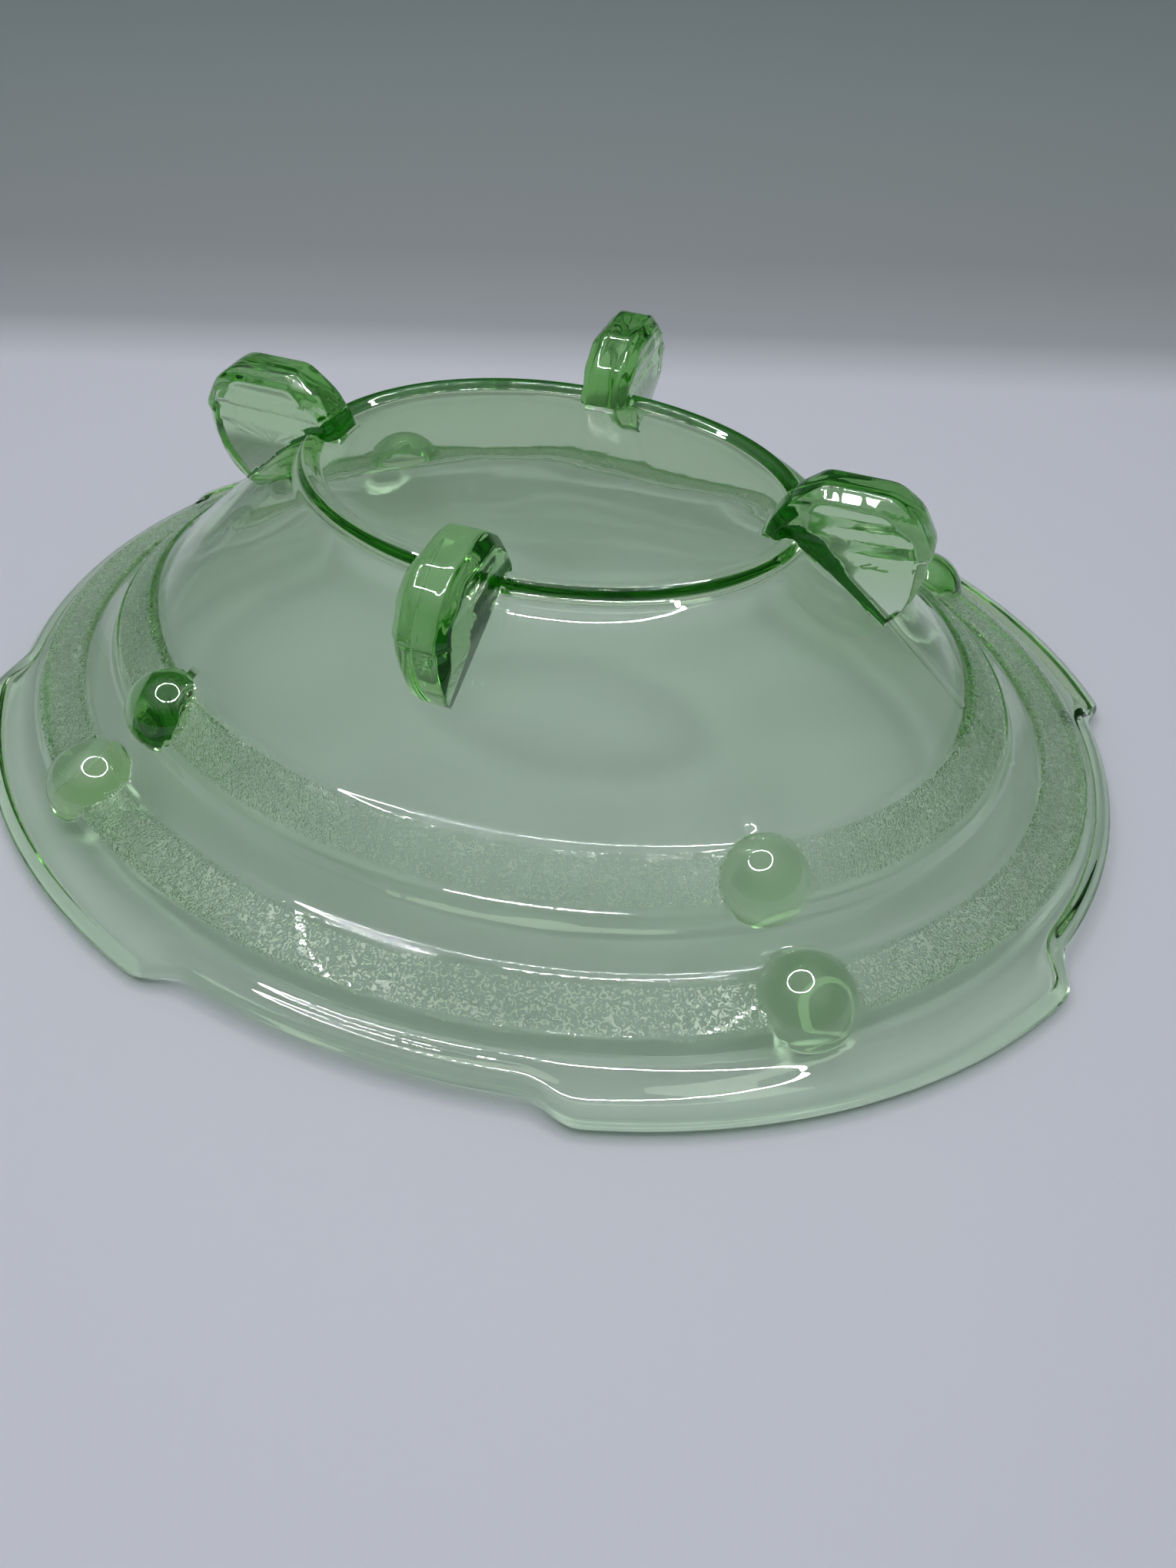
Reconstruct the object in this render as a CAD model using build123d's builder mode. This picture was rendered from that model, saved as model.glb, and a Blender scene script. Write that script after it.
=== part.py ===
from build123d import *
from math import cos, radians, sin, tau
import os

# Oval pressed-glass footed bowl, resting upside down on its rim, feet up.
# Units are millimetres. +Z is up, +X is the long axis of the oval, and the
# origin is the centre of the rim, on the plane that the rim rests on.

# Stations of the outer face, from the rim up to the base:
# half length along X, half width along Y, height above the rim plane.
OUTER_STATIONS = [
    (147.8, 119.8, 0.0),      # underside of the rim roll
    (150.0, 122.0, 2.3),      # widest line of the rim roll
    (148.2, 120.2, 4.5),      # top of the rim roll
    (136.3, 108.8, 8.2),      # flange meets the lower riser
    (134.5, 107.0, 10.9),     # outer edge of the lower stippled band
    (123.4, 95.1, 13.9),      # inner edge of the lower stippled band
    (122.7, 94.4, 13.5),      # plain step between the two bands
    (114.6, 87.4, 18.6),      # step meets the upper riser
    (113.1, 85.6, 22.0),      # outer edge of the upper stippled band
    (103.0, 76.0, 30.4),      # inner edge of the upper stippled band
    (102.2, 75.2, 30.5),      # plain wall ends
    (60.4, 43.4, 66.4),       # plain wall begins, under the base ridge
    (59.2, 42.2, 67.6),       # cove under the base ridge
    (58.6, 41.6, 69.2),       # crest of the base ridge
]
# Stations of the smooth inner face, from the mouth up to the floor.
INNER_STATIONS = [
    (149.2, 121.2, -1.0),
    (134.0, 106.0, 4.3),
    (131.5, 103.5, 6.2),
    (121.0, 92.8, 9.6),
    (111.5, 84.0, 16.4),
    (100.8, 73.8, 26.0),
    (56.4, 39.4, 63.0),
    (52.0, 35.0, 63.8),
]

# Flat plate inside the base ridge
RIDGE_CREST = 69.2
PLATE_HALF_LENGTH = 56.0
PLATE_HALF_WIDTH = 39.0
PLATE_HEIGHT = 68.2

# Rim outline: full at the four diagonals, drawn in at the ends of both axes.
# The ogee between them runs from one half span to the other.
RIM_HALF_LENGTH = 150.5
RIM_HALF_WIDTH = 122.5
DRAWN_IN_LENGTH = 7.9
DRAWN_IN_WIDTH = 5.1
OGEE_INNER_SPAN = 38.0
OGEE_OUTER_SPAN = 51.0
OUTLINE_STEPS = 144

# Feet: thick bevelled discs standing radially at the ends of both axes.
# Outline points are the distance outward from the base ridge, and the height.
FOOT_OUTLINE = [
    (-8.4, 60.0),
    (-8.4, 69.4),
    (-4.8, 76.3),
    (1.8, 81.6),
    (16.8, 81.6),
    (22.6, 78.0),
    (26.4, 71.0),
    (26.8, 64.4),
    (24.5, 57.4),
    (20.4, 50.6),
    (16.6, 48.0),
    (12.0, 46.0),
]
FOOT_THICKNESS = 12.4
FOOT_BEVEL = 2.6
FOOT_CORNER_RADIUS = 3.5
# Name of the foot: the direction that it faces in degrees, and the distance
# from the centre of the bowl to the base ridge there.
FEET = {
    "foot_right": (0, 59.0),
    "foot_back": (90, 42.0),
    "foot_left": (180, 59.0),
    "foot_front": (270, 42.0),
}

# Ball bosses: two on each diagonal, one on each stippled band.
# Name of the tier: X, Y and height of the centre, and the radius.
BALL_TIERS = {
    "upper": (70.2, 60.6, 24.6, 9.9),
    "lower": (84.4, 75.2, 8.4, 11.3),
}
# Name of the corner: the side along X and the side along Y.
CORNERS = {
    "front_left": (-1, -1),
    "front_right": (1, -1),
    "back_left": (-1, 1),
    "back_right": (1, 1),
}


def ovals(stations):
    """One oval face for each station, ready to loft."""
    faces = []
    for half_length, half_width, height in stations:
        with BuildSketch(Plane.XY.offset(height)) as oval:
            Ellipse(half_length, half_width)
        faces.append(oval.sketch.face())
    return faces


def drawn_in_share(span):
    """How far the rim is drawn in, from 1 inside the ogee to 0 outside it."""
    part_way = (span - OGEE_INNER_SPAN) / (OGEE_OUTER_SPAN - OGEE_INNER_SPAN)
    part_way = min(max(part_way, 0.0), 1.0)
    return 1 - part_way * part_way * (3 - 2 * part_way)


def rim_point(angle):
    """Point of the rim outline at this angle of the oval."""
    along = RIM_HALF_LENGTH * cos(angle)
    aside = RIM_HALF_WIDTH * sin(angle)
    along -= DRAWN_IN_LENGTH * drawn_in_share(abs(aside)) * cos(angle)
    aside -= DRAWN_IN_WIDTH * drawn_in_share(abs(along)) * sin(angle)
    return (along, aside)


def save(part, name):
    """Label one finished piece and write its STEP."""
    part.label = name
    export_step(part, f"parts/{name}.step")


os.makedirs("parts", exist_ok=True)

# The outer body, solid through: the feet and the balls are cut to its face.
with BuildPart() as outer_body:
    loft(ovals(OUTER_STATIONS), ruled=True)
    with BuildSketch(Plane.XY.offset(PLATE_HEIGHT)):
        Ellipse(PLATE_HALF_LENGTH, PLATE_HALF_WIDTH)
    extrude(amount=RIDGE_CREST - PLATE_HEIGHT, mode=Mode.SUBTRACT)

# The rim outline as a tall prism that trims the flange.
with BuildPart() as rim_prism:
    with BuildSketch():
        with BuildLine():
            Spline([rim_point(tau * step / OUTLINE_STEPS) for step in range(OUTLINE_STEPS)], periodic=True)
        make_face()
    extrude(amount=RIDGE_CREST)

with BuildPart() as bowl:
    add(outer_body.part)
    add(rim_prism.part, mode=Mode.INTERSECT)
    loft(ovals(INNER_STATIONS), ruled=True, mode=Mode.SUBTRACT)
save(bowl.part, "bowl")

for name, (facing, ridge_reach) in FEET.items():
    outward = (cos(radians(facing)), sin(radians(facing)), 0)
    across = (sin(radians(facing)), -cos(radians(facing)), 0)
    foot_plane = Plane(origin=(0, 0, 0), x_dir=outward, z_dir=across)
    with BuildPart() as foot:
        with BuildSketch(foot_plane) as outline:
            with BuildLine():
                Polyline([(ridge_reach + reach, height) for reach, height in FOOT_OUTLINE], close=True)
            make_face()
            fillet(outline.vertices(), FOOT_CORNER_RADIUS)
        extrude(amount=FOOT_THICKNESS / 2, both=True)
        chamfer(foot.faces().filter_by(foot_plane).edges(), FOOT_BEVEL)
        add(outer_body.part, mode=Mode.SUBTRACT)
    save(foot.part, name)

for tier, (ball_x, ball_y, ball_height, ball_radius) in BALL_TIERS.items():
    for corner, (side_x, side_y) in CORNERS.items():
        with BuildPart() as ball:
            with Locations((side_x * ball_x, side_y * ball_y, ball_height)):
                Sphere(ball_radius)
            split(bisect_by=Plane.XY, keep=Keep.TOP)
            add(outer_body.part, mode=Mode.SUBTRACT)
        save(ball.part, f"{tier}_ball_{corner}")
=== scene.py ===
"""Looks of an oval pressed-glass footed bowl that rests upside down on its rim, feet up.

The shape tables are in millimetres, and MM turns them into metres. The frame is the CAD model's:
+Z up, +X along the oval, -Y the front, and the origin in the middle of the rim, on the table.
"""
from math import ceil, cos, hypot, radians, sin, tau

import bmesh
import bpy
import numpy as np
from mathutils import Matrix, Vector, noise


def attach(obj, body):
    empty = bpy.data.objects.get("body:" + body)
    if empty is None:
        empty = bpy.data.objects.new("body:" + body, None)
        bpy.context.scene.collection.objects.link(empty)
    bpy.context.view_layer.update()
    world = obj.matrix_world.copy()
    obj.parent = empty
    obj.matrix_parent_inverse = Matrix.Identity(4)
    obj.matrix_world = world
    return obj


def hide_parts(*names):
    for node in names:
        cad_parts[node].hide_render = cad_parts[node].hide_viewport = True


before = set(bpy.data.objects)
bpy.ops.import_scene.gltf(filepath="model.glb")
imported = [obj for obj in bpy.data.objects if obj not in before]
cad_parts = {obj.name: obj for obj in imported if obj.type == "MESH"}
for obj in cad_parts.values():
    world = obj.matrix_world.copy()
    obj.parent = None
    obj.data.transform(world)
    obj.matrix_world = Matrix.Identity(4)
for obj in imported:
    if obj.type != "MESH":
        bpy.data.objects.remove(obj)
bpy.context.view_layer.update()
MM = 0.001

# ---------------------------------------------------------------- shape tables, in millimetres
# Stations across the glass, from the middle of the base out over the outer face to the rim.
# Half length, half width, height, rounding of the corner, share of the rim's drawn-in shift.
OUTER = [
    (7.0, 5.0, 68.2, 0.0, 0.0),        # near the middle of the base plate
    (54.6, 37.6, 68.0, 0.7, 0.0),      # plate meets the base ridge
    (56.1, 39.1, 69.2, 0.8, 0.0),      # inner edge of the ridge
    (58.5, 41.5, 69.3, 0.8, 0.0),      # outer edge of the ridge
    (59.4, 42.4, 67.5, 1.0, 0.0),      # shelf under the ridge begins
    (64.5, 47.3, 64.6, 3.0, 0.0),      # plain wall begins
    (101.3, 74.3, 31.3, 1.1, 0.0),     # plain wall ends
    (103.4, 76.4, 30.7, 1.0, 0.0),     # upper stippled band begins
    (112.0, 84.5, 23.2, 1.0, 0.0),     # upper stippled band ends in a lip
    (113.5, 86.0, 22.5, 0.9, 0.0),     # top of the upper riser
    (114.9, 87.7, 18.8, 1.3, 0.0),     # foot of the upper riser
    (121.9, 93.7, 13.9, 1.0, 0.0),     # plain step ends
    (124.1, 95.8, 14.0, 1.0, 0.0),     # lower stippled band begins
    (134.5, 107.0, 10.9, 1.0, 0.0),    # lower stippled band ends
    (136.3, 108.8, 8.2, 1.2, 0.0),     # foot of the lower riser
    (139.6, 112.0, 6.7, 1.7, 0.28),    # hollow of the flange begins
    (144.4, 116.6, 6.3, 2.2, 0.7),     # hollow of the flange ends
    (148.1, 120.1, 4.5, 0.9, 1.0),     # flange meets the rim roll
    (150.0, 122.0, 2.4, 1.6, 1.0),     # widest line of the roll
    (148.0, 120.0, 0.0, 0.9, 1.0),     # underside of the roll
]
INNER = [
    (146.2, 118.2, 0.0, 0.9, 1.0),     # inner edge of the roll
    (144.8, 116.8, 2.0, 1.0, 0.9),     # flange begins
    (133.8, 106.2, 4.7, 3.0, 0.0),     # flange ends
    (132.0, 104.2, 6.9, 2.4, 0.0),     # behind the lower riser
    (121.3, 93.0, 9.9, 4.0, 0.0),      # behind the edge of the plain step
    (111.8, 84.3, 16.3, 4.0, 0.0),     # behind the upper riser
    (100.2, 73.2, 27.2, 6.0, 0.0),     # wall begins
    (58.4, 41.7, 63.8, 2.2, 0.0),      # wall turns into the floor
    (7.0, 5.0, 63.8, 0.0, 0.0),        # near the middle of the floor
]
SEAM_RISE = 0.22                       # mould seams at the ends of both axes
SEAM_FIRST_RING = 29                   # first ring with a seam, past the shelf
SEAM_LAST_RINGS = 11                   # rings at the rim without one, as it is fire polished
ROUND_STEPS = 3                        # pieces of one rounded corner
SPAN_STEP = 4.6                        # longest piece between corners
OVAL_STEPS = 432                       # points round one ring
CORNER_SHARE = 0.46                    # most of a span that one rounded corner may take
STIPPLED_BANDS = ((7, 8), (12, 13))    # first and last outer station of each band
STIPPLE_FADE = 0.06                    # share of a band's width over which its edge fades
BAND_REACH = 0.006                     # how near to its oval a point of a band lies, as a share
BAND_OVERRUN = 0.02                    # how far past its ends, as a share of the band's width

# Waviness of the fire-polished faces: noise seed, size, depth and the height where it starts.
OUTER_WAVES = (3.0, 26.0, 0.10, 10)
INNER_WAVES = (11.0, 17.0, 0.22, 5)

# Rim outline: drawn in at the ends of both axes, full between them.
RIM_HALF_LENGTH = 150.5
RIM_HALF_WIDTH = 122.5
DRAWN_IN_LENGTH = 7.9
DRAWN_IN_WIDTH = 5.1
OGEE_INNER_SPAN = 38.0
OGEE_OUTER_SPAN = 51.0
DRAWN_IN_RISE = 0.31                   # how far the rim lifts for each millimetre drawn in

# Feet: outline points are the distance outward from the base ridge, the height and the rounding.
FOOT_OUTLINE = [
    (-8.4, 60.0, 0.5),
    (-8.4, 69.4, 2.2),
    (-4.8, 76.3, 2.6),
    (1.8, 81.6, 1.6),
    (16.8, 81.6, 2.0),
    (22.6, 78.0, 2.6),
    (26.5, 71.4, 3.0),
    (26.9, 69.8, 0.5),
    (26.2, 69.0, 0.5),
    (26.3, 64.4, 2.6),
    (24.5, 57.4, 3.4),
    (20.4, 50.6, 2.6),
    (16.6, 48.0, 1.0),
    (12.0, 46.0, 0.5),
]
# The direction that each foot faces in degrees: the distance from the centre to the ridge there.
FOOT_REACH = {0: 59.0, 90: 42.0, 180: 59.0, 270: 42.0}
FOOT_HALF = 6.2                        # half thickness inside the bevel
FOOT_EDGE_HALF = 3.7                   # half thickness at the outline
FOOT_MIDDLE = (9.0, 64.4)              # the rings of each face close in on this point
FOOT_STEP = 1.1                        # longest piece of the outline
# How far out each ring of a face lies, as a share of the outline: closer together near it.
FOOT_SHARES = np.concatenate([np.linspace(0.06, 0.78, 11), np.linspace(0.81, 1.0, 9)])
# Relief of a foot's faces, from the top down: a lip, a groove, a step at the parting line,
# a rough band, and a crease below which the foot thins.
LIP_ABOVE_GROOVE, LIP_WIDTH, LIP_RISE = 3.0, 1.0, 0.22
GROOVE_HEIGHT, GROOVE_SLOPE, GROOVE_WIDTH, GROOVE_DEPTH = 71.6, 0.06, 1.5, 0.40
PARTING_HEIGHT, PARTING_FALL, PARTING_STEP = 69.2, 0.8, 0.25
ROUGH_HEIGHT, ROUGH_WIDTH, ROUGH_DEPTH = 67.3, 1.3, 0.16
ROUGH_GRAIN = (1.3, 0.8)               # size of the roughness outward and up
CREASE_HEIGHT, CREASE_SLOPE = 64.4, 0.24
CREASE_BLEND, BEVEL_BLEND = 0.35, 0.5
# Rows across the edge of a foot: share of the edge's half thickness, share of its groove's depth.
EDGE_ROWS = ((-0.6, 0), (-0.42, 0.15), (-0.3, 1), (-0.18, 0.15), (0.1, 0), (0.55, 0))
EDGE_GROOVE_DEPTH = 0.45
EDGE_GROOVE_TOP, EDGE_GROOVE_RUNOUT = 77, 4
EDGE_GROOVE_START = 6                  # outward from the ridge

# Balls: X, Y and height of the centre, and the radius.
BALLS = [(70.2, 60.6, 24.6, 9.9), (84.4, 75.2, 8.4, 11.3)]

# The hidden undersides of the feet and balls end this far inside the wall: inward and down.
ROOT_INSET = 0.8
ROOT_DROP = 1.3
ROOT_END = (146.0, 118.0, -20.0, 0.0, 1.0)    # last station of that limit, far under the rim


# ---------------------------------------------------------------- lines with rounded corners
def cut_corner(before, here, after, span_in, span_out, corner):
    """Where the rounding of this corner starts and ends."""
    cut = min(corner, CORNER_SHARE * span_in, CORNER_SHARE * span_out)
    return here + (before - here) * cut / span_in, here + (after - here) * cut / span_out


def straight_run(last, target, pieces):
    """Evenly spaced points from the last one to the target, in this many pieces."""
    return [last + (target - last) * k / pieces for k in range(1, pieces + 1)]


def corner_arc(start, here, end):
    """Points of a rounded corner, after its start."""
    arc = []
    for k in range(1, ROUND_STEPS + 1):
        t = k / ROUND_STEPS
        arc.append((1 - t) ** 2 * start + 2 * t * (1 - t) * here + t * t * end)
    return arc


# ---------------------------------------------------------------- the pressed shell
def rounded_profile(stations):
    """Rings across the glass as rows of half length, half width, height and shift share."""
    points = [np.array((a, b, z, share)) for a, b, z, corner, share in stations]
    rows = [points[0]]
    for i in range(1, len(points)):
        before, here = points[i - 1], points[i]
        span_in = hypot(*(here - before)[[0, 2]])
        corner = stations[i][3]
        if i + 1 < len(points) and corner > 0:
            after = points[i + 1]
            span_out = hypot(*(after - here)[[0, 2]])
            start, end = cut_corner(before, here, after, span_in, span_out, corner)
        else:
            start = end = here
        span = hypot(*(start - rows[-1])[[0, 2]])
        rows += straight_run(rows[-1], start, max(1, ceil(span / SPAN_STEP)))
        if start is not end:
            rows += corner_arc(start, here, end)
    return np.array(rows)


def drawn_in_share(span):
    """How far the rim is drawn in: 1 inside the ogee, 0 outside it."""
    part_way = np.clip((span - OGEE_INNER_SPAN) / (OGEE_OUTER_SPAN - OGEE_INNER_SPAN), 0, 1)
    return 1 - part_way * part_way * (3 - 2 * part_way)


def ring_points(profile):
    """Every ring of the profile as points of an oval, with the rim drawn in at the axis ends."""
    angle = tau * np.arange(OVAL_STEPS) / OVAL_STEPS
    along, aside = np.cos(angle), np.sin(angle)
    shift_x = -DRAWN_IN_LENGTH * drawn_in_share(np.abs(RIM_HALF_WIDTH * aside)) * along
    shift_y = -DRAWN_IN_WIDTH * drawn_in_share(np.abs(RIM_HALF_LENGTH * along)) * aside
    rise = DRAWN_IN_RISE * np.hypot(shift_x, shift_y)
    half_length, half_width, height, share = (profile[:, k][:, None] for k in range(4))
    return np.stack([
        half_length * along + share * shift_x,
        half_width * aside + share * shift_y,
        height + share * rise,
    ], axis=-1)


def fire_polish(points, seed, size, depth, floor):
    """Lifts the points above this floor by the soft waviness of fire-polished glass."""
    for point in points:
        if point[2] > floor:
            place = Vector((point[0], point[1], point[2])) / size + Vector((seed, 0, 0))
            point[2] += depth * noise.noise(place)


def closed_rings(name, rings):
    """A closed mesh from stacked rings, with a middle point at each end."""
    count, steps = rings.shape[:2]
    points = rings.reshape(-1, 3)
    first = points[:steps].mean(0)
    last = points[-steps:].mean(0)
    vertices = np.vstack([points, first, last])
    faces = []
    for row in range(count - 1):
        base, above = row * steps, (row + 1) * steps
        faces += [(base + k, base + (k + 1) % steps, above + (k + 1) % steps, above + k)
                  for k in range(steps)]
    first_middle, last_middle = count * steps, count * steps + 1
    last_ring = (count - 1) * steps
    faces += [(first_middle, (k + 1) % steps, k) for k in range(steps)]
    faces += [(last_middle, last_ring + k, last_ring + (k + 1) % steps) for k in range(steps)]
    return new_object(name, vertices, faces)


def place_mesh(name, mesh):
    """An object in the scene with this mesh."""
    piece = bpy.data.objects.new(name, mesh)
    bpy.context.scene.collection.objects.link(piece)
    return piece


def new_object(name, vertices, faces):
    """A mesh object from points in millimetres, with its faces turned outward."""
    mesh = bpy.data.meshes.new(name)
    mesh.from_pydata((np.asarray(vertices) * MM).tolist(), [], faces)
    shape = bmesh.new()
    shape.from_mesh(mesh)
    bmesh.ops.recalc_face_normals(shape, faces=shape.faces)
    shape.to_mesh(mesh)
    shape.free()
    return place_mesh(name, mesh)


def make_shell():
    """The hollow bowl as one closed skin: outer face, rim roll and inner face."""
    outer = ring_points(rounded_profile(OUTER))
    inner = ring_points(rounded_profile(INNER))
    for quarter in range(4):
        seam = outer[SEAM_FIRST_RING:-SEAM_LAST_RINGS, quarter * OVAL_STEPS // 4]
        seam += SEAM_RISE * seam / np.linalg.norm(seam, axis=1)[:, None]
    fire_polish(outer.reshape(-1, 3), *OUTER_WAVES)
    fire_polish(inner.reshape(-1, 3), *INNER_WAVES)
    return closed_rings("bowl_glass", np.concatenate([outer, inner]))


def make_root_limit():
    """The outer face sunk into the wall, which trims the hidden ends of the feet and balls."""
    stations = [(a - ROOT_INSET, b - ROOT_INSET, z - ROOT_DROP, corner, share)
                for a, b, z, corner, share in OUTER]
    stations[-1] = ROOT_END
    return closed_rings("root_limit", ring_points(rounded_profile(stations)))


# ---------------------------------------------------------------- the feet
def run_of_steps(last, target):
    """A straight run of the outline, in pieces of at most one foot step."""
    return straight_run(last, target, max(1, ceil(np.linalg.norm(target - last) / FOOT_STEP)))


def foot_outline():
    """The foot's rounded outline as evenly spaced points."""
    count = len(FOOT_OUTLINE)
    points = [np.array(p[:2]) for p in FOOT_OUTLINE]
    line = []
    for i, here in enumerate(points):
        before, after = points[i - 1], points[(i + 1) % count]
        span_in, span_out = np.linalg.norm(here - before), np.linalg.norm(after - here)
        start, end = cut_corner(before, here, after, span_in, span_out, FOOT_OUTLINE[i][2])
        if line:
            line += run_of_steps(line[-1], start)
        else:
            line.append(start)
        line += corner_arc(start, here, end)
    line += run_of_steps(line[-1], line[0])[:-1]
    return np.array(line)


def soft_min(a, b, radius):
    """The lesser of two surfaces, blended where they cross."""
    share = np.clip(0.5 + 0.5 * (b - a) / radius, 0, 1)
    return b + (a - b) * share - radius * share * (1 - share)


def edge_distance(points, outline):
    """Distance of each point from the outline."""
    best = np.full(len(points), 1e9)
    for start, end in zip(outline, np.roll(outline, -1, axis=0)):
        run = end - start
        t = np.clip((points - start) @ run / (run @ run), 0, 1)
        best = np.minimum(best, np.linalg.norm(points - start - t[:, None] * run, axis=1))
    return best


def bell(offset, width):
    """A soft bump: 1 at no offset, and almost 0 two widths away."""
    return np.exp(-(offset / width) ** 2)


def foot_face(points, depth, seed):
    """Half the foot's thickness at each point of its face, this deep inside the outline."""
    outward, height = points[:, 0], points[:, 1]
    above_groove = height - (GROOVE_HEIGHT + GROOVE_SLOPE * outward)
    groove = GROOVE_DEPTH * bell(above_groove, GROOVE_WIDTH)
    lip = LIP_RISE * bell(above_groove - LIP_ABOVE_GROOVE, LIP_WIDTH)
    below = np.clip((PARTING_HEIGHT - height) / PARTING_FALL, 0, 1)
    rough = np.array([noise.noise(Vector((p[0] / ROUGH_GRAIN[0], p[1] / ROUGH_GRAIN[1], seed)))
                      for p in points])
    rough *= ROUGH_DEPTH * bell(height - ROUGH_HEIGHT, ROUGH_WIDTH)
    face = FOOT_HALF - groove + lip - PARTING_STEP * below + rough
    lower = FOOT_HALF - PARTING_STEP - CREASE_SLOPE * (CREASE_HEIGHT - height)
    face = soft_min(face, lower, CREASE_BLEND)
    return soft_min(face, FOOT_EDGE_HALF + depth, BEVEL_BLEND)


def make_foot(facing, reach):
    """One foot: a thick bevelled disc that stands radially, facing this many degrees."""
    outline = foot_outline()
    middle = np.array(FOOT_MIDDLE)
    steps = len(outline)
    flat = np.concatenate([middle + share * (outline - middle) for share in FOOT_SHARES])
    depth = edge_distance(flat, outline)
    faces = []
    for side in (-1, 1):
        half = foot_face(flat, depth, 5.0 * side + facing)
        face = np.column_stack([flat[:, 0], side * half, flat[:, 1]])
        faces.append(face.reshape(len(FOOT_SHARES), steps, 3))
    inward = middle - outline
    inward /= np.linalg.norm(inward, axis=1)[:, None]
    groove_depth = (EDGE_GROOVE_DEPTH
                    * np.clip((EDGE_GROOVE_TOP - outline[:, 1]) / EDGE_GROOVE_RUNOUT, 0, 1)
                    * np.clip(outline[:, 0] / EDGE_GROOVE_START - 1, 0, 1))
    edge = []
    for across, dip in EDGE_ROWS:
        line = outline + inward * (groove_depth * dip)[:, None]
        aside = np.full(steps, across * FOOT_EDGE_HALF)
        edge.append(np.column_stack([line[:, 0], aside, line[:, 1]]))
    rings = np.array([*faces[0], *edge, *faces[1][::-1]])
    outward = np.array((cos(radians(facing)), sin(radians(facing)), 0))
    sideways = np.array((-sin(radians(facing)), cos(radians(facing)), 0))
    placed = ((reach + rings[..., 0:1]) * outward + rings[..., 1:2] * sideways
              + rings[..., 2:3] * np.array((0, 0, 1)))
    return closed_rings(f"foot_{facing}", placed)


# ---------------------------------------------------------------- the balls
def make_ball(name, centre, radius):
    """One ball boss as a full ball."""
    shape = bmesh.new()
    bmesh.ops.create_icosphere(shape, subdivisions=4, radius=radius * MM)
    bmesh.ops.translate(shape, verts=shape.verts, vec=Vector(centre) * MM)
    mesh = bpy.data.meshes.new(name)
    shape.to_mesh(mesh)
    shape.free()
    return place_mesh(name, mesh)


# ---------------------------------------------------------------- one glass body
def combine(piece, tool, operation):
    """Applies a boolean of tool on piece, and removes the tool."""
    cut = piece.modifiers.new("cut", "BOOLEAN")
    cut.operation = operation
    cut.solver = "MANIFOLD"
    cut.object = tool
    depsgraph = bpy.context.evaluated_depsgraph_get()
    mesh = bpy.data.meshes.new_from_object(piece.evaluated_get(depsgraph))
    piece.modifiers.clear()
    piece.data = mesh
    bpy.data.objects.remove(tool)


def make_glass():
    """Shell, feet and balls as one closed body, as the bowl is one pressing."""
    attachments = [make_foot(facing, reach) for facing, reach in FOOT_REACH.items()]
    for tier, (x, y, height, radius) in enumerate(BALLS):
        for side_x in (-1, 1):
            for side_y in (-1, 1):
                name = f"ball_{tier}_{side_x}_{side_y}"
                attachments.append(make_ball(name, (side_x * x, side_y * y, height), radius))
    joined = attachments[0]
    for other in attachments[1:]:
        combine(joined, other, "UNION")
    combine(joined, make_root_limit(), "DIFFERENCE")
    glass = make_shell()
    combine(glass, joined, "UNION")
    glass.data.shade_smooth()
    return glass


def mark_stipple(mesh):
    """Weights of the two stippled bands, fading at their edges."""
    count = len(mesh.vertices)
    points = np.zeros(count * 3)
    mesh.vertices.foreach_get("co", points)
    points = points.reshape(-1, 3) / MM
    weight = np.zeros(count)
    for inner, outer in STIPPLED_BANDS:
        a0, b0, z0 = OUTER[inner][:3]
        a1, b1, z1 = OUTER[outer][:3]
        part_way = (points[:, 2] - z0) / (z1 - z0)
        a = a0 + (a1 - a0) * part_way
        b = b0 + (b1 - b0) * part_way
        oval = np.hypot(points[:, 0] / a, points[:, 1] / b)
        on_band = ((np.abs(oval - 1) < BAND_REACH)
                   & (part_way > -BAND_OVERRUN) & (part_way < 1 + BAND_OVERRUN))
        fade = np.clip(np.minimum(part_way, 1 - part_way) / STIPPLE_FADE, 0, 1)
        weight = np.where(on_band, fade, weight)
    layer = mesh.attributes.new("stipple", "FLOAT", "POINT")
    layer.data.foreach_set("value", weight.astype(np.float32))


# ---------------------------------------------------------------- materials
def node(tree, kind, inputs=(), **settings):
    """A node with these plain input values, by name or number, and these properties."""
    made = tree.nodes.new(kind)
    for name, value in settings.items():
        setattr(made, name, value)
    for name, value in dict(inputs).items():
        made.inputs[name].default_value = value
    return made


def empty_material(name):
    """A material with only an output: the material, its tree and the output."""
    material = bpy.data.materials.new(name)
    material.use_nodes = True
    material.node_tree.nodes.clear()
    return material, material.node_tree, node(material.node_tree, "ShaderNodeOutputMaterial")


STIPPLE_MATTNESS = 0.31                # roughness that the stipple adds


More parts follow.
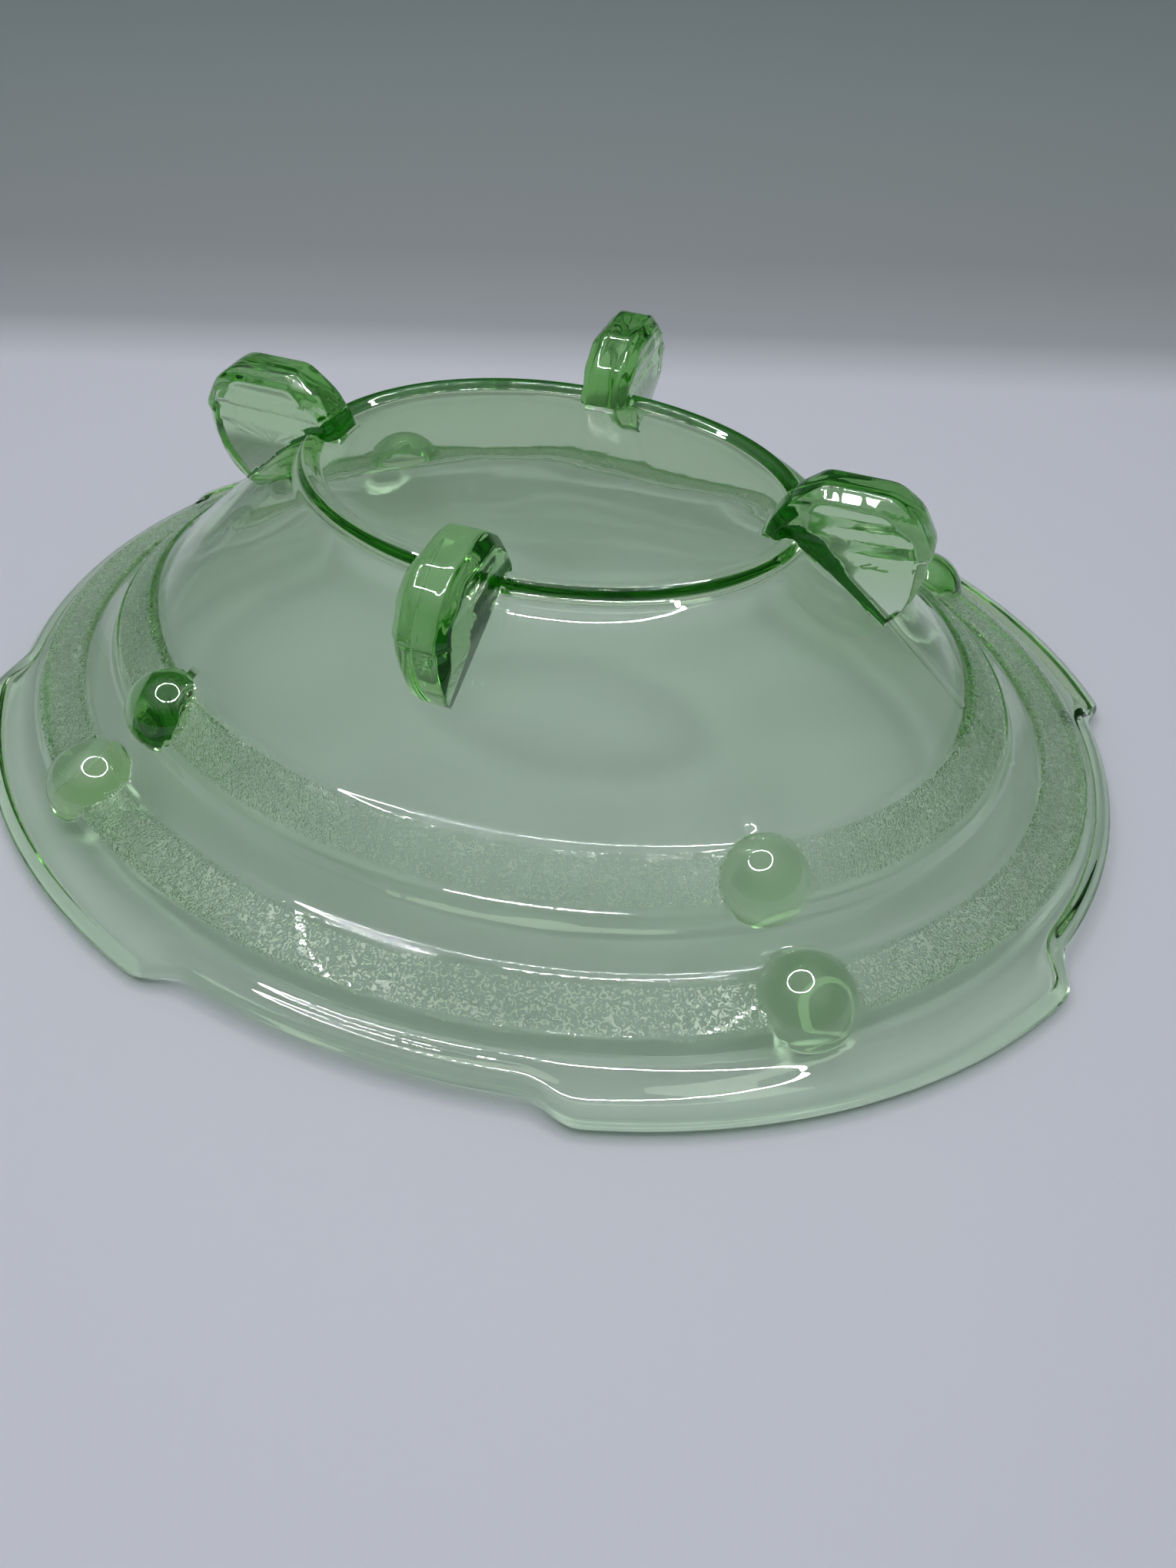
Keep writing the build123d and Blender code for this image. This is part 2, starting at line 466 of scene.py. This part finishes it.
def glass_material():
    """Green pressed glass: clear, a little wavy, stippled on the bands, deeper where thick."""
    material, tree, output = empty_material("green_pressed_glass")
    link = tree.links.new
    shader = node(tree, "ShaderNodeBsdfPrincipled", {
        "Base Color": (1, 1, 1, 1), "Transmission Weight": 1.0, "IOR": 1.52})
    link(shader.outputs["BSDF"], output.inputs["Surface"])
    absorption = node(tree, "ShaderNodeVolumeAbsorption", {
        "Color": (0.26, 0.74, 0.075, 1), "Density": 54.0})
    link(absorption.outputs["Volume"], output.inputs["Volume"])

    # Fine waves all over.
    place = node(tree, "ShaderNodeTexCoord")
    waves = node(tree, "ShaderNodeTexNoise", {"Scale": 130.0, "Detail": 2.0})
    link(place.outputs["Object"], waves.inputs["Vector"])
    wave_bump = node(tree, "ShaderNodeBump", {"Strength": 0.35, "Distance": 0.00006})
    link(waves.outputs["Fac"], wave_bump.inputs["Height"])

    # Worm-like stipple on the bands, raised and matt.
    worms = node(tree, "ShaderNodeTexNoise", {"Scale": 700.0, "Detail": 2.5, "Distortion": 2.2})
    link(place.outputs["Object"], worms.inputs["Vector"])
    steep = node(tree, "ShaderNodeMapRange", {"From Min": 0.42, "From Max": 0.58},
                 interpolation_type="SMOOTHSTEP")
    link(worms.outputs["Fac"], steep.inputs["Value"])
    band = node(tree, "ShaderNodeAttribute", attribute_name="stipple")
    on_band = node(tree, "ShaderNodeMath", operation="MULTIPLY")
    link(steep.outputs["Result"], on_band.inputs[0])
    link(band.outputs["Fac"], on_band.inputs[1])
    stipple_bump = node(tree, "ShaderNodeBump", {"Strength": 1.0, "Distance": 0.0009})
    link(on_band.outputs["Value"], stipple_bump.inputs["Height"])
    link(wave_bump.outputs["Normal"], stipple_bump.inputs["Normal"])
    link(stipple_bump.outputs["Normal"], shader.inputs["Normal"])

    # Faint smudges, which dull the polish here and there.
    smudges = node(tree, "ShaderNodeTexNoise", {"Scale": 55.0, "Detail": 4.0})
    link(place.outputs["Object"], smudges.inputs["Vector"])
    polish = node(tree, "ShaderNodeMapRange", {
        "From Min": 0.45, "From Max": 0.75, "To Min": 0.0, "To Max": 0.03})
    link(smudges.outputs["Fac"], polish.inputs["Value"])
    matt = node(tree, "ShaderNodeMath", {1: STIPPLE_MATTNESS}, operation="MULTIPLY_ADD")
    link(on_band.outputs["Value"], matt.inputs[0])
    link(polish.outputs["Result"], matt.inputs[2])
    link(matt.outputs["Value"], shader.inputs["Roughness"])
    return material


# ---------------------------------------------------------------- studio
# Lengths are in metres from here on, angles in degrees, and the lens in millimetres.
CAMERA_PLACE = (0.0868, -0.2216, 0.2108)
CAMERA_AZIMUTH = -18.78                # from +Y towards +X
CAMERA_DOWN = 45.39
CAMERA_ROLL = 1.84
CAMERA_LENS = 27.42

FLOOR_HALF = 4.0
FLOOR_DROP = 0.0003                    # keeps the floor clear of the rim
# Painted shade on the card: darker with distance behind the middle of the bowl, as the backdrop
# there lies in shade.
FLOOR_PAINTED_SHADE = [
    (0.00, (0.66, 0.67, 0.76)),
    (0.185, (0.66, 0.67, 0.75)),
    (0.225, (0.36, 0.38, 0.415)),
    (0.30, (0.28, 0.305, 0.315)),
    (0.60, (0.255, 0.307, 0.31)),
    (1.00, (0.23, 0.275, 0.275)),
]

# The ring of small lamps that the glass mirrors.
RING_CENTRE = (-0.03, -0.02, 0.40)
RING_RADIUS = 0.19
RING_LAMPS = 110
LAMP_RADIUS = 0.0045
LAMP_STRENGTH = 220.0
# The broad ring that lights the scene.
LIGHT_CENTRE = (-0.05, 0.0, 0.82)
LIGHT_INNER_RADIUS = 0.31
LIGHT_OUTER_RADIUS = 0.41
LIGHT_STEPS = 48
LIGHT_STRENGTH = 4.2

WALL_LIGHT = 0.40                      # brightness of the walls for what they light
WALL_SEEN = 0.45                       # and as the camera sees them
BOUNCES = 40                           # light turns many times inside the thick glass


def make_camera():
    """The camera, looking down at the bowl from the front right."""
    azimuth, down, roll = (radians(v) for v in (CAMERA_AZIMUTH, CAMERA_DOWN, CAMERA_ROLL))
    forward = Vector((sin(azimuth) * cos(down), cos(azimuth) * cos(down), -sin(down)))
    right = Vector((cos(azimuth), -sin(azimuth), 0))
    up = right.cross(forward)
    side = cos(roll) * right + sin(roll) * up
    top = -sin(roll) * right + cos(roll) * up
    lens = bpy.data.cameras.new("camera")
    lens.lens = CAMERA_LENS
    lens.sensor_width = 36
    lens.clip_start = 0.01
    camera = bpy.data.objects.new("camera", lens)
    bpy.context.scene.collection.objects.link(camera)
    turn = Matrix((side, top, -forward)).transposed().to_4x4()
    camera.matrix_world = Matrix.Translation(CAMERA_PLACE) @ turn
    bpy.context.scene.camera = camera


def floor_material():
    """Matt pale card, lavender grey near the bowl, with painted shade that makes it darker grey
    far behind it.
    """
    material, tree, output = empty_material("pale_card_painted_shade")
    link = tree.links.new
    shader = node(tree, "ShaderNodeBsdfPrincipled", {"Roughness": 0.75})
    link(shader.outputs["BSDF"], output.inputs["Surface"])
    behind = (sin(radians(CAMERA_AZIMUTH)), cos(radians(CAMERA_AZIMUTH)), 0)
    place = node(tree, "ShaderNodeTexCoord")
    away = node(tree, "ShaderNodeVectorMath", {1: behind}, operation="DOT_PRODUCT")
    link(place.outputs["Object"], away.inputs[0])
    far = node(tree, "ShaderNodeMapRange", {"From Min": 0.0, "From Max": 1.0})
    link(away.outputs["Value"], far.inputs["Value"])
    # This ramp paints shade onto the card, darker the further behind the bowl.
    painted_shade_ramp = node(tree, "ShaderNodeValToRGB")
    ramp = painted_shade_ramp.color_ramp
    for position, colour in FLOOR_PAINTED_SHADE[1:-1]:
        ramp.elements.new(position)
    for element, (position, colour) in zip(ramp.elements, FLOOR_PAINTED_SHADE):
        element.position = position
        element.color = (*colour, 1)
    link(far.outputs["Result"], painted_shade_ramp.inputs["Fac"])
    link(painted_shade_ramp.outputs["Color"], shader.inputs["Base Color"])
    return material


def stage_piece(name, mesh, material):
    """An object of the set, which isn't part of the bowl."""
    mesh.materials.append(material)
    piece = place_mesh(name, mesh)
    return piece


def make_floor():
    """A large plain floor just under the rim."""
    mesh = bpy.data.meshes.new("floor")
    corners = [(x * FLOOR_HALF, y * FLOOR_HALF, -FLOOR_DROP)
               for x, y in ((-1, -1), (1, -1), (1, 1), (-1, 1))]
    mesh.from_pydata(corners, [], [(0, 1, 2, 3)])
    stage_piece("floor", mesh, floor_material())


def point_on_ring(centre, radius, turn):
    """The point this share of a turn round a level ring."""
    return Vector((radius * cos(tau * turn), radius * sin(tau * turn), 0)) + Vector(centre)


def make_ring_lamps():
    """A ring of small lamps overhead, seen only as glints in the glass."""
    material, tree, output = empty_material("ring_lamp")
    # Off once light has left a matt surface, so that the lamps throw no bright specks.
    path = node(tree, "ShaderNodeLightPath")
    direct = node(tree, "ShaderNodeMath", {1: 0.5}, operation="LESS_THAN")
    tree.links.new(path.outputs["Diffuse Depth"], direct.inputs[0])
    power = node(tree, "ShaderNodeMath", {1: LAMP_STRENGTH}, operation="MULTIPLY")
    tree.links.new(direct.outputs["Value"], power.inputs[0])
    light = node(tree, "ShaderNodeEmission")
    tree.links.new(power.outputs["Value"], light.inputs["Strength"])
    tree.links.new(light.outputs["Emission"], output.inputs["Surface"])
    material.cycles.emission_sampling = "FRONT"
    shape = bmesh.new()
    for k in range(RING_LAMPS):
        place = point_on_ring(RING_CENTRE, RING_RADIUS, k / RING_LAMPS)
        bmesh.ops.create_icosphere(shape, subdivisions=2, radius=LAMP_RADIUS,
                                   matrix=Matrix.Translation(place))
    mesh = bpy.data.meshes.new("ring_lamps")
    shape.to_mesh(mesh)
    shape.free()
    lamps = stage_piece("ring_lamps", mesh, material)
    lamps.visible_camera = False
    lamps.visible_diffuse = False
    lamps.visible_transmission = False
    lamps.visible_shadow = False


def make_light_ring():
    """A broad glowing ring high overhead, which lights the floor and the glass."""
    material, tree, output = empty_material("light_ring")
    light = node(tree, "ShaderNodeEmission", {"Strength": LIGHT_STRENGTH})
    tree.links.new(light.outputs["Emission"], output.inputs["Surface"])
    points = [point_on_ring(LIGHT_CENTRE, radius, k / LIGHT_STEPS)
              for k in range(LIGHT_STEPS) for radius in (LIGHT_INNER_RADIUS, LIGHT_OUTER_RADIUS)]
    count = len(points)
    faces = [(k, k + 1, (k + 3) % count, (k + 2) % count) for k in range(0, count, 2)]
    mesh = bpy.data.meshes.new("light_ring")
    mesh.from_pydata(points, [], faces)
    ring = stage_piece("light_ring", mesh, material)
    ring.visible_camera = False
    ring.visible_glossy = False


def make_surroundings():
    """Pale walls all round. The glass mirrors them brighter overhead than near the horizon."""
    world = bpy.data.worlds.new("studio")
    world.use_nodes = True
    bpy.context.scene.world = world
    tree = world.node_tree
    link = tree.links.new
    background = tree.nodes["Background"]
    background.inputs["Color"].default_value = (0.93, 0.97, 1.0, 1)
    place = node(tree, "ShaderNodeTexCoord")
    upward = node(tree, "ShaderNodeSeparateXYZ")
    link(place.outputs["Generated"], upward.inputs[0])
    overhead = node(tree, "ShaderNodeMapRange", {
        "From Min": 0.5, "From Max": 0.95, "To Min": 0.08, "To Max": 1.1},
        interpolation_type="SMOOTHSTEP")
    link(upward.outputs["Z"], overhead.inputs["Value"])
    path = node(tree, "ShaderNodeLightPath")
    reflected = node(tree, "ShaderNodeMath", operation="SUBTRACT", use_clamp=True)
    link(path.outputs["Is Glossy Ray"], reflected.inputs[0])
    link(path.outputs["Is Transmission Ray"], reflected.inputs[1])
    mirrored = node(tree, "ShaderNodeMix", {"A": WALL_LIGHT})
    link(reflected.outputs["Value"], mirrored.inputs["Factor"])
    link(overhead.outputs["Result"], mirrored.inputs["B"])
    seen = node(tree, "ShaderNodeMix", {"B": WALL_SEEN})
    link(path.outputs["Is Camera Ray"], seen.inputs["Factor"])
    link(mirrored.outputs["Result"], seen.inputs["A"])
    link(seen.outputs["Result"], background.inputs["Strength"])


def set_light_paths():
    """Lets light take its long ways through thick glass, and leaves its colours as they are."""
    scene = bpy.context.scene
    scene.view_settings.view_transform = "Standard"
    scene.cycles.sample_clamp_indirect = 0.0
    scene.cycles.blur_glossy = 0.0
    scene.cycles.max_bounces = BOUNCES
    scene.cycles.transmission_bounces = BOUNCES
    scene.cycles.glossy_bounces = BOUNCES


glass = make_glass()
mark_stipple(glass.data)
glass.data.materials.clear()
glass.data.materials.append(glass_material())
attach(glass, "root")
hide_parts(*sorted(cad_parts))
make_camera()
make_floor()
make_ring_lamps()
make_light_ring()
make_surroundings()
set_light_paths()
